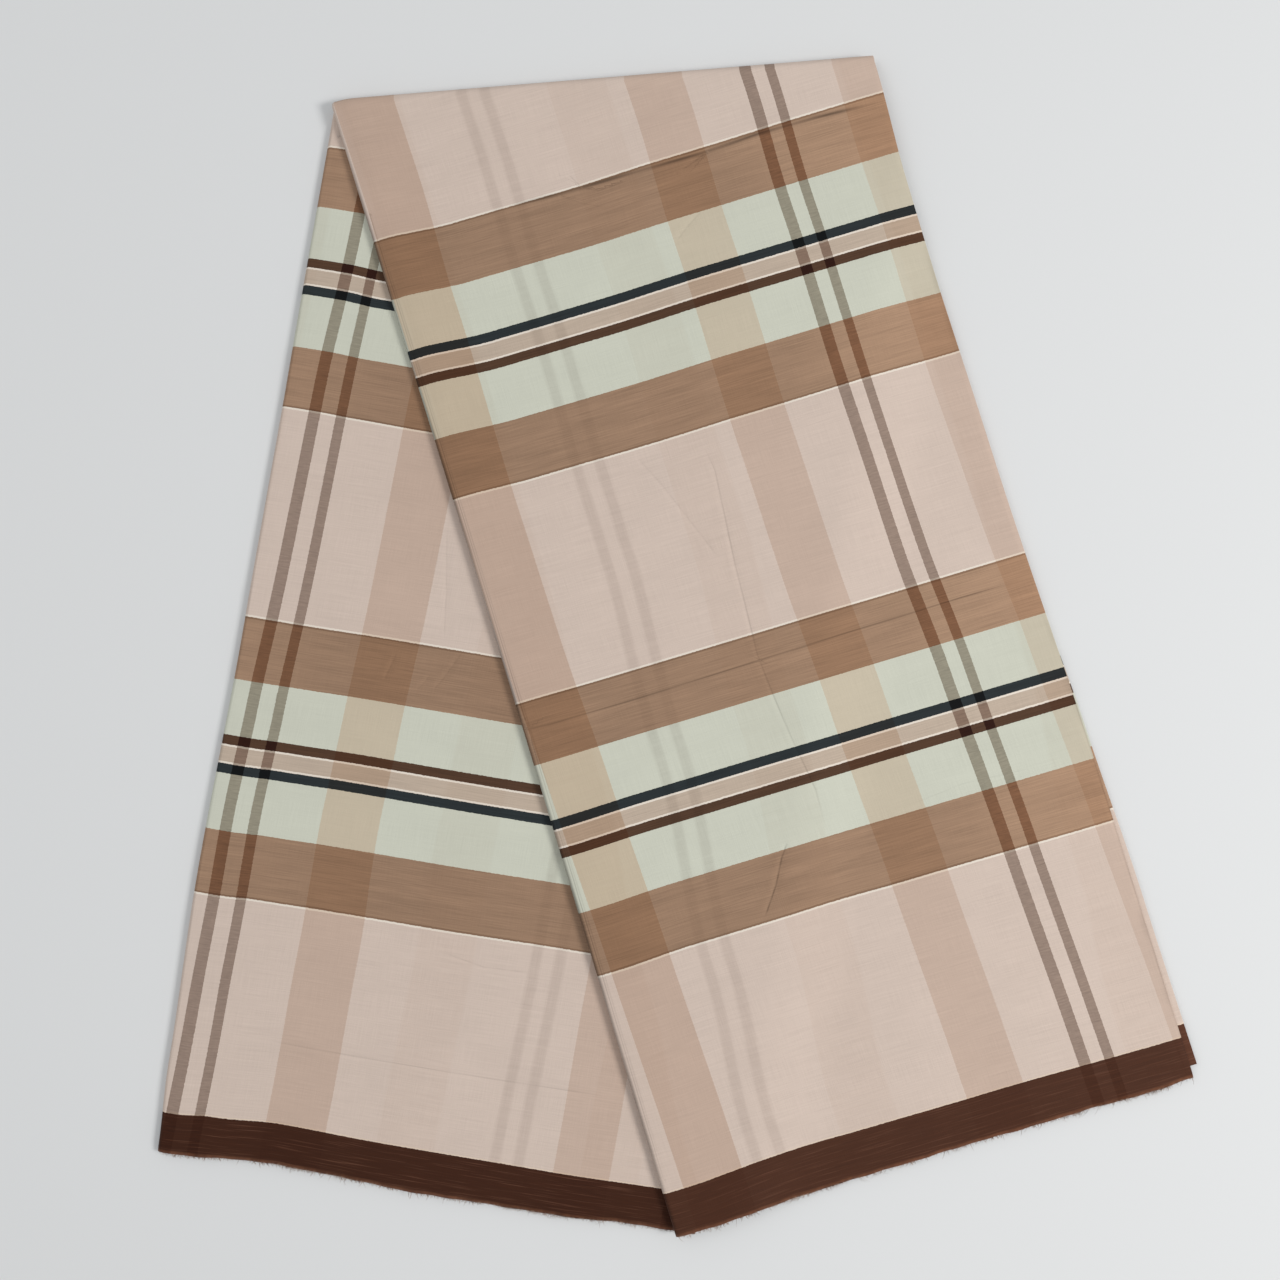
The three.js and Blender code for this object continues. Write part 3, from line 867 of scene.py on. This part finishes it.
def makeHemLeaves(name, leg, depths):
    leaves = [makeHemLeaf(f"{name}_{k}", leg, k, depth) for k, depth in enumerate(depths)]
    selectOnly(leaves[0])
    for leaf in leaves:
        leaf.select_set(True)
    bpy.ops.object.join()
    leaves[0].name = name
    return leaves[0]


upperLeaves = makeHemLeaves("upper_hem_layers", upperLeg, hemLeaves["upperDepths"])
lowerLeaves = makeHemLeaves("lower_hem_layers", lowerLeg, hemLeaves["lowerDepths"])

# Short frayed threads along each hem's raw edge
fray = {
    "seed": 41,
    "perMetre": 4200,
    "length": (0.0006, 0.0021),
    "longShare": 0.05,
    "longLength": 0.0046,
    "thickness": 0.00016,
    "lean": 1.1,
    "steps": 3,
    "sides": 3,
    "root": 0.0006,
    "fromLeft": 0.0012,
    "fromRight": 0.0006,
    "clumps": (210, 77),
    "clumpShare": 0.45,
    "clumpShift": 1.7,
    "shortest": 0.5,
    "curl": 0.35,
    "droop": (-0.1, 0.55),
    "thickRange": (0.6, 1.2),
    "taper": 0.75,
    "lowest": 0.0003,
    "inset": 0.00022,
}


def makeFray(name, leg, depth, seed):
    draw = random.Random(seed)
    edge, inner = legRow(leg, 0.0), legRow(leg, fray["root"])
    across, steps, sides = edge["across"], fray["steps"], fray["sides"]
    points, faces = [], []
    for _ in range(int(edge["width"] * fray["perMetre"])):
        x = draw.uniform(fray["fromLeft"], edge["width"] - fray["fromRight"])
        base = placeOnLeg(inner, x, depth)
        first, second = fray["clumps"]
        clump = math.sin(x * first + fray["clumpShift"] * seed) * math.sin(x * second + seed)
        clump = 1 - fray["clumpShare"] + fray["clumpShare"] * clump
        length = draw.uniform(*fray["length"]) * (fray["shortest"] + clump)
        if draw.random() < fray["longShare"]:
            length = draw.uniform(fray["length"][1], fray["longLength"])
        sideways = draw.gauss(0, fray["curl"]) * fray["lean"]
        heading = [edge["down"][k] + across[k] * sideways for k in (0, 1)]
        size = math.hypot(*heading)
        curl = draw.gauss(0, fray["curl"])
        droop = draw.uniform(*fray["droop"])
        thick = fray["thickness"] * draw.uniform(*fray["thickRange"])
        start = len(points)
        for i in range(steps + 1):
            t = i / steps
            cx, cy = (base[k] + heading[k] / size * length * t + across[k] * curl * t * t * length
                      for k in (0, 1))
            cz = max(fray["lowest"], base[2] - droop * length * t * t)
            r = thick * (1 - fray["taper"] * t)
            for k in range(sides):
                a = 2 * math.pi * k / sides
                aside = r * math.cos(a)
                points.append((cx + across[0] * aside, cy + across[1] * aside, cz + r * math.sin(a)))
        for i in range(steps):
            for k in range(sides):
                a, b = start + sides * i + k, start + sides * i + (k + 1) % sides
                faces.append((a, b, b + sides, a + sides))
        end = start + sides * steps
        faces += [(start + 2, start + 1, start), (end, end + 1, end + 2)]
    piece = linkedPiece(name, points, faces)
    facesOutwards(piece)
    return piece


print("frayed hems")
upperFray = makeFray("upper_hem_fray", upperLeg, fray["inset"], fray["seed"])
lowerFray = makeFray("lower_hem_fray", lowerLeg, lowerLeg["thickness"] - fray["inset"], fray["seed"] + 1)

# Finishes. Each cross stripe has its colour, what a pink and a grey weft leave of it, and how streaky
# its threads are, with how much of the painted sheen it takes
stripeKinds = ("colour", "pinkOver", "greyOver", "threadAndSheen")
stripes = {
    "pink": ((0.598, 0.484, 0.41), (0.845, 0.765, 0.708), (0.475, 0.425, 0.395), (0.22, 0.1, 0)),
    "tan": ((0.3, 0.187, 0.119), (0.88, 0.79, 0.705), (0.54, 0.41, 0.33), (0.62, 1.0, 0)),
    "tanEdge": ((0.215, 0.128, 0.078), (0.88, 0.79, 0.705), (0.54, 0.41, 0.33), (0.62, 1.0, 0)),
    "white": ((0.569, 0.572, 0.474), (0.93, 0.77, 0.678), (0.495, 0.445, 0.4), (0.1, 0.0, 0)),
    "black": ((0.022, 0.028, 0.03), (0.85, 0.7, 0.62), (0.12, 0.12, 0.12), (0.95, 0.0, 0)),
    "brown": ((0.08, 0.04, 0.022), (0.9, 0.74, 0.62), (0.3, 0.14, 0.1), (0.9, 0.2, 0)),
    "middle": ((0.48, 0.384, 0.3), (0.85, 0.75, 0.67), (0.46, 0.38, 0.35), (0.42, 0.1, 0)),
    "hairline": ((0.74, 0.655, 0.56), (0.87, 0.78, 0.71), (0.505, 0.455, 0.42), (0.16, 0.1, 0)),
    "border": ((0.063, 0.0228, 0.0115), (0.95, 0.91, 0.88), (0.82, 0.72, 0.62), (0.55, 0.25, 0)),
}
palette = {
    "borderHairline": (0.66, 0.53, 0.42),
    "shadedLastBorder": (0.045, 0.0142, 0.0062),
    "borderThread": (0.108, 0.045, 0.026),
    "borderEdge": (0.21, 0.082, 0.04),
    "plain": (1.0, 1.0, 1.0),
    "none": (0.0, 0.0, 0.0),
    "pinkBelow": (0.89, 0.835, 0.79),
    "greyBelow": (0.48, 0.44, 0.42),
    "frayDark": (0.085, 0.036, 0.021),
    "frayPale": (0.33, 0.215, 0.15),
}
finish = {
    "roughness": 0.74,
    "specular": 0.12,
    "sheen": 0.04,
    "sheenRoughness": 0.45,
    "repeatsBefore": 4,
    "showThrough": 0.23,
    "tanHides": 0.5,
    "sheenPatchiness": 0.16,
    "lengthSlub": 0.06,
    "mottle": 0.05,
    "greyHatch": 0.55,
    "rawEdge": 0.0022,
    "threadBump": 0.00008,
    "rippleBump": 0.0004,
    # painted shade and highlight along the crease and edge lines, and the bump of those lines
    "creaseLineBump": 0.00007,
    "creaseLineWidth": 0.0003,
    "paintedLineShade": 0.46,
    "paintedLineHighlight": 0.05,
    "litAt": 2.6,
    "litWidth": 2,
    "alongWander": 0.0005,
    "acrossWander": 0.0006,
    "looseThreads": (5.0, -2.75),
    "tufts": 1.7,
    "belowBlur": 0.0008,
    "belowUneven": 0.9,
    "roughUneven": 0.18,
    "frayTone": (4.0, 0.45),
    "frayRoughness": 0.8,
    "fraySpecular": 0.2,
}
# The cloth's noises: how often each varies a metre, across and along the band, its detail and offset
grain = {
    "alongEdges": ((900, 60, 1), 1.0, (0, 0, 0)),
    "acrossEdges": ((60, 900, 1), 1.0, (3, 1, 0)),
    "looseThreads": ((34, 1500, 1), 3.0, (1, 8, 0)),
    "tufts": ((260, 160, 1), 2.0, (7, 2, 0)),
    "hatch": ((170, 1300, 1), 2.0, (4, 4, 0)),
    "below": ((60, 420, 1), 2.0, (9, 5, 0)),
    "crossSlub": ((42, 1800, 1), 3.0, (0, 0, 0)),
    "lengthSlub": ((1900, 55, 1), 3.0, (5, 9, 0)),
    "mottle": ((24, 40, 1), 3.0, (2, 4, 0)),
    "sheenPatches": ((17, 190, 1), 3.0, (8, 3, 0)),
    "ripple": ((13, 95, 1), 2.0, (6, 3, 0)),
    "fray": ((900, 900, 900), 2.0, (0, 0, 0)),
}


class NodeTree:
    def __init__(self, material):
        material.use_nodes = True
        self.tree = material.node_tree
        self.tree.nodes.clear()

    def add(self, kind, **settings):
        node = self.tree.nodes.new(kind)
        for key, value in settings.items():
            setattr(node, key, value)
        return node

    def wire(self, source, target):
        self.tree.links.new(source, target)

    # Sets each socket to its number or colour, or wires it to its source
    def fill(self, sockets, values):
        for socket, value in zip(sockets, values):
            if isinstance(value, (int, float)):
                socket.default_value = value
            elif isinstance(value, tuple):
                socket.default_value = (*value, 1.0)
            elif value is not None:
                self.wire(value, socket)

    def named(self, kind, values):
        node = self.add(kind)
        self.fill([node.inputs[name] for name in values], values.values())
        return node

    def math(self, operation, a, b=None, c=None, clamp=False):
        node = self.add("ShaderNodeMath", operation=operation, use_clamp=clamp)
        self.fill(node.inputs, (a, b, c))
        return node.outputs[0]

    def times(self, a, b, clamp=False):
        return self.math("MULTIPLY", a, b, clamp=clamp)

    # A base with an amount of a noise about its middle added
    def uneven(self, noise, amount, base):
        return self.math("MULTIPLY_ADD", self.math("SUBTRACT", noise, 0.5), amount, base)

    def mixColour(self, blendType, amount, a, b):
        node = self.add("ShaderNodeMix", data_type="RGBA", blend_type=blendType)
        self.fill((node.inputs[0], node.inputs[6], node.inputs[7]), (amount, a, b))
        return node.outputs[2]

    def ramp(self, value, stops, interpolation="CONSTANT"):
        node = self.add("ShaderNodeValToRGB")
        band = node.color_ramp
        band.interpolation = interpolation
        while len(band.elements) > 1:
            band.elements.remove(band.elements[-1])
        band.elements[0].position = stops[0][0]
        band.elements[0].color = (*stops[0][1], 1.0)
        for position, colour in stops[1:]:
            band.elements.new(position).color = (*colour, 1.0)
        self.wire(value, node.inputs[0])
        return node.outputs[0]

    # A soft bump of height 1 about a value
    def bell(self, value, centre, width):
        away = self.math("DIVIDE", self.math("SUBTRACT", value, centre), width)
        return self.math("EXPONENT", self.times(self.times(away, away), -1.0))

    def grey(self, value):
        node = self.add("ShaderNodeCombineColor")
        self.fill(node.inputs, (value, value, value))
        return node.outputs[0]

    def parts(self, kind, source):
        node = self.add(kind)
        self.wire(source, node.inputs[0])
        return node.outputs[0], node.outputs[1]

    def attribute(self, name):
        return self.add("ShaderNodeAttribute", attribute_name=name).outputs["Fac"]

    def bump(self, height, distance, normal=None):
        return self.named("ShaderNodeBump", {"Strength": 1.0, "Distance": distance, "Height": height,
                                             "Normal": normal}).outputs[0]

    def noise(self, vector, name):
        stretch, detail, offset = grain[name]
        mapping = self.add("ShaderNodeMapping")
        mapping.inputs["Scale"].default_value = stretch
        mapping.inputs["Location"].default_value = offset
        self.wire(vector, mapping.inputs["Vector"])
        return self.named("ShaderNodeTexNoise", {"Scale": 1.0, "Detail": detail,
                                                 "Vector": mapping.outputs[0]}).outputs[0]

    def skin(self, colour, roughness, specular, normal=None):
        node = self.named("ShaderNodeBsdfPrincipled", {"Base Color": colour, "Roughness": roughness,
                                                       "Specular IOR Level": specular, "Normal": normal})
        self.wire(node.outputs[0], self.add("ShaderNodeOutputMaterial").inputs[0])
        return node


# Stops of one repeat of the cross stripes, as shares of the repeat
def crossStops(kind):
    hair, thinHair, edge = weave["hairline"], weave["thinHairline"], weave["tanEdge"]
    tan = [("tanEdge", edge), ("tan", weave["tan"] - 2 * edge), ("tanEdge", edge)]
    bands = [*tan, ("white", weave["white"]), ("brown", weave["thin"]), ("hairline", thinHair),
             ("middle", weave["middle"] - 2 * thinHair), ("hairline", thinHair), ("black", weave["thin"]),
             ("white", weave["white"]), *tan, ("hairline", hair), ("pink", weave["field"] - 2 * hair),
             ("hairline", hair)]
    stops, at = [], 0.0
    for stripe, width in bands:
        stops.append((at / crossPeriod, stripes[stripe][stripeKinds.index(kind)]))
        at += width
    return stops


# Stops of one repeat of the lengthwise stripes, crisp or softened where seen through the cloth
def weftStops(pink, grey, plain, soft=0.0):
    bands = [(pink, weave["pinkWeft"]), (plain, weave["wideWeft"]), (pink, weave["pinkWeft"]),
             (plain, weave["nearWeft"]), (grey, weave["greyWeft"]), (plain, weave["greyGap"]),
             (grey, weave["greyWeft"]), (plain, weave["nearWeft"])]
    stops, at = [], 0.0
    for colour, width in bands:
        stops.append(((at + soft) / weftPeriod, colour))
        at += width
        if soft:
            stops.append(((at - soft) / weftPeriod, colour))
    return stops


def checkedCotton(name):
    material = bpy.data.materials.new(name)
    n = NodeTree(material)
    chart = n.add("ShaderNodeUVMap", uv_map="cloth").outputs[0]
    across, along = n.parts("ShaderNodeSeparateXYZ", chart)

    # the woven edges of the stripes wander by a thread
    along = n.uneven(n.noise(chart, "alongEdges"), finish["alongWander"], along)
    across = n.uneven(n.noise(chart, "acrossEdges"), finish["acrossWander"], across)

    # cross stripes, and the border at each end
    inner = firstSet - weave["field"] + 2 * weave["hairline"]
    held = n.math("MINIMUM", n.math("MAXIMUM", along, inner), clothLength - inner)
    fromStart = n.math("SUBTRACT", held, firstSet - finish["repeatsBefore"] * crossPeriod)
    repeat = n.math("FRACT", n.math("DIVIDE", fromStart, crossPeriod))
    fromEnd = n.math("MINIMUM", along, n.math("SUBTRACT", clothLength, along))
    isBorder = n.math("LESS_THAN", fromEnd, weave["border"])
    isHair = n.math("LESS_THAN", fromEnd, weave["border"] + weave["borderHairline"])
    cross = n.mixColour("MIX", isHair, n.ramp(repeat, crossStops("colour")), palette["borderHairline"])
    # the border at the lower leg's hem is painted darker, as painted shade
    isLast = n.math("GREATER_THAN", along, clothLength / 2)
    border = n.mixColour("MIX", isLast, stripes["border"][0], palette["shadedLastBorder"])
    loose = n.math("MULTIPLY_ADD", n.noise(chart, "looseThreads"), *finish["looseThreads"], clamp=True)
    border = n.mixColour("MIX", loose, border, palette["borderThread"])
    nearEdge = n.math("DIVIDE", n.attribute("fromHem"), finish["rawEdge"])
    nearEdge = n.math("SUBTRACT", 1.0, nearEdge, clamp=True)
    tufts = n.times(n.noise(chart, "tufts"), finish["tufts"])
    border = n.mixColour("MIX", n.times(nearEdge, tufts, True), border, palette["borderEdge"])
    cross = n.mixColour("MIX", isBorder, cross, border)

    def stripeValue(kind):
        border = stripes["border"][stripeKinds.index(kind)]
        return n.mixColour("MIX", isBorder, n.ramp(repeat, crossStops(kind)), border)

    streaky, sheenShare = n.parts("ShaderNodeSeparateColor", stripeValue("threadAndSheen"))

    # lengthwise stripes
    def weftShare(value):
        repeats = n.math("DIVIDE", value, weftPeriod)
        return n.math("FRACT", n.math("ADD", repeats, finish["repeatsBefore"]))

    weftRepeat = weftShare(across)
    plain, dark = palette["plain"], palette["none"]
    isPink = n.ramp(weftRepeat, weftStops(plain, dark, dark))
    isGrey = n.ramp(weftRepeat, weftStops(dark, plain, dark))
    # the pink weft darkens less where its share falls, which paints the sheen there
    pinkHere = n.times(isPink, n.attribute("pinkShareAndSheen"))
    colour = n.mixColour("MULTIPLY", pinkHere, cross, stripeValue("pinkOver"))
    hatch = n.uneven(n.noise(chart, "hatch"), finish["greyHatch"], 1.0)
    greyHere = n.mixColour("MULTIPLY", 1.0, stripeValue("greyOver"), n.grey(hatch))
    colour = n.mixColour("MULTIPLY", isGrey, colour, greyHere)

    # the layer below shows faintly through the thin cloth, least where the tan lies
    below = n.add("ShaderNodeUVMap", uv_map="under").outputs[0]
    belowAcross = n.parts("ShaderNodeSeparateXYZ", below)[0]
    belowStops = weftStops(palette["pinkBelow"], palette["greyBelow"], plain, finish["belowBlur"])
    faint = n.uneven(n.noise(chart, "below"), finish["belowUneven"], 1.0)
    through = n.times(n.math("SUBTRACT", 1.0, isBorder), n.times(faint, finish["showThrough"]))
    through = n.times(through, n.math("MULTIPLY_ADD", sheenShare, -finish["tanHides"], 1.0))
    colour = n.mixColour("MULTIPLY", through, colour, n.ramp(weftShare(belowAcross), belowStops, "LINEAR"))

    # uneven threads both ways, a broad faint mottle, the tan's painted sheen, and the painted shade and
    # highlight of the creases
    crossSlub = n.noise(chart, "crossSlub")
    lengthSlub = n.noise(chart, "lengthSlub")
    shade = n.uneven(crossSlub, streaky, 1.0)
    shade = n.uneven(lengthSlub, finish["lengthSlub"] * 2, shade)
    shade = n.uneven(n.noise(chart, "mottle"), finish["mottle"] * 2, shade)
    # painted sheen: lighter patches on the tan
    sheenPatches = n.times(n.math("SUBTRACT", n.noise(chart, "sheenPatches"), 0.5), finish["sheenPatchiness"] * 2)
    shade = n.math("MULTIPLY_ADD", sheenPatches, sheenShare, shade)
    # the tan lightened by the painted sheen carried on the points
    shade = n.times(shade, n.math("MULTIPLY_ADD", n.attribute("paintedSheen"), sheenShare, 1.0))
    # painted shade along each crease and edge line, with a painted highlight beside it
    creaseAt, creaseShadeAndBump = n.attribute("creaseAt"), n.attribute("creaseShadeAndBump")
    width = finish["creaseLineWidth"]
    fold = n.times(n.bell(creaseAt, 0.0, width), creaseShadeAndBump)
    lit = n.times(n.bell(creaseAt, finish["litAt"] * width, finish["litWidth"] * width), creaseShadeAndBump)
    shade = n.times(shade, n.math("MULTIPLY_ADD", fold, -finish["paintedLineShade"], 1.0))
    shade = n.times(shade, n.math("MULTIPLY_ADD", lit, finish["paintedLineHighlight"], 1.0))
    colour = n.mixColour("MULTIPLY", 1.0, colour, n.grey(shade))

    # fine relief: threads, faint ripples, and the folded lines of the creases
    relief = n.bump(n.math("ADD", crossSlub, lengthSlub), finish["threadBump"])
    relief = n.bump(n.noise(chart, "ripple"), finish["rippleBump"], relief)
    relief = n.bump(n.times(fold, -1.0), finish["creaseLineBump"], relief)
    rough = n.uneven(crossSlub, finish["roughUneven"], finish["roughness"])
    skin = n.skin(colour, rough, finish["specular"], relief)
    skin.inputs["Sheen Weight"].default_value = finish["sheen"]
    skin.inputs["Sheen Roughness"].default_value = finish["sheenRoughness"]
    return material


def frayedThread(name):
    material = bpy.data.materials.new(name)
    n = NodeTree(material)
    place = n.add("ShaderNodeTexCoord").outputs["Object"]
    gain, base = finish["frayTone"]
    tone = n.math("SUBTRACT", n.noise(place, "fray"), 0.5)
    tone = n.math("MULTIPLY_ADD", tone, gain, base, clamp=True)
    colour = n.mixColour("MIX", tone, palette["frayDark"], palette["frayPale"])
    n.skin(colour, finish["frayRoughness"], finish["fraySpecular"])
    return material


print("finishes")
cotton = checkedCotton("checked cotton")
threads = frayedThread("frayed threads")
clothPieces = (upperCloth, lowerCloth, secondCloth, innerLayers, upperLeaves, lowerLeaves)
for piece in clothPieces:
    piece.data.materials.clear()
    piece.data.materials.append(cotton)
for piece in (upperFray, lowerFray):
    piece.data.materials.append(threads)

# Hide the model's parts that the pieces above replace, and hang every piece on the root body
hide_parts("upper_leg_face")
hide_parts("lower_leg_face")
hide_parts("upper_leg_second_layer")
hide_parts("hidden_layers")
for piece in (*clothPieces, upperFray, lowerFray):
    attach(piece, "root")

# Floor, light and camera
studio = {
    "floor": (0.7, 0.7, 0.69),
    "floorRoughness": 0.85,
    "floorSize": 12.0,
    "world": (0.93, 0.96, 1.0),
    "worldStrength": 0.515,
    "keyPower": 34.5,
    "keySize": 0.7,
    "keyPlace": (1.75, -0.35, 1.55),
    "fillPower": 9.3,
    "fillSize": 1.6,
    "fillPlace": (-1.2, 0.5, 1.9),
}
bpy.ops.object.select_all(action="DESELECT")
bpy.ops.mesh.primitive_plane_add(size=studio["floorSize"], location=(0, 0, 0))
floor = bpy.context.active_object
floor.name = "floor"
floorPaint = bpy.data.materials.new("pale floor")
floorPaint.use_nodes = True
floorSkin = floorPaint.node_tree.nodes["Principled BSDF"]
floorSkin.inputs["Base Color"].default_value = (*studio["floor"], 1)
floorSkin.inputs["Roughness"].default_value = studio["floorRoughness"]
floor.data.materials.append(floorPaint)


def softLight(name, place, size, power):
    lamp = bpy.data.lights.new(name, "AREA")
    lamp.size = size
    lamp.energy = power
    light = bpy.data.objects.new(name, lamp)
    light.location = place
    aim = -np.array(place) / np.linalg.norm(place)
    light.rotation_euler = (math.acos(-aim[2]), 0, math.atan2(aim[0], -aim[1]) + math.pi)
    bpy.context.scene.collection.objects.link(light)
    return light


softLight("key", studio["keyPlace"], studio["keySize"], studio["keyPower"])
softLight("fill", studio["fillPlace"], studio["fillSize"], studio["fillPower"])
world = bpy.data.worlds.new("studio")
world.use_nodes = True
sky = world.node_tree.nodes["Background"]
sky.inputs[0].default_value = (*studio["world"], 1)
sky.inputs[1].default_value = studio["worldStrength"]
bpy.context.scene.world = world
bpy.context.scene.view_settings.view_transform = "Standard"

lens = {
    "focalPixels": 1400.0,
    "framePixels": 1280.0,
    "sensor": 36.0,
    "nearest": 0.01,
    "place": (-0.0102, -0.0481, 0.741),
    "tilt": (0.0617, 0.0113, 0.0),
}
cameraData = bpy.data.cameras.new("camera")
cameraData.sensor_width = lens["sensor"]
cameraData.lens = lens["sensor"] * lens["focalPixels"] / lens["framePixels"]
cameraData.clip_start = lens["nearest"]
camera = bpy.data.objects.new("camera", cameraData)
camera.location = lens["place"]
camera.rotation_euler = lens["tilt"]
bpy.context.scene.collection.objects.link(camera)
bpy.context.scene.camera = camera
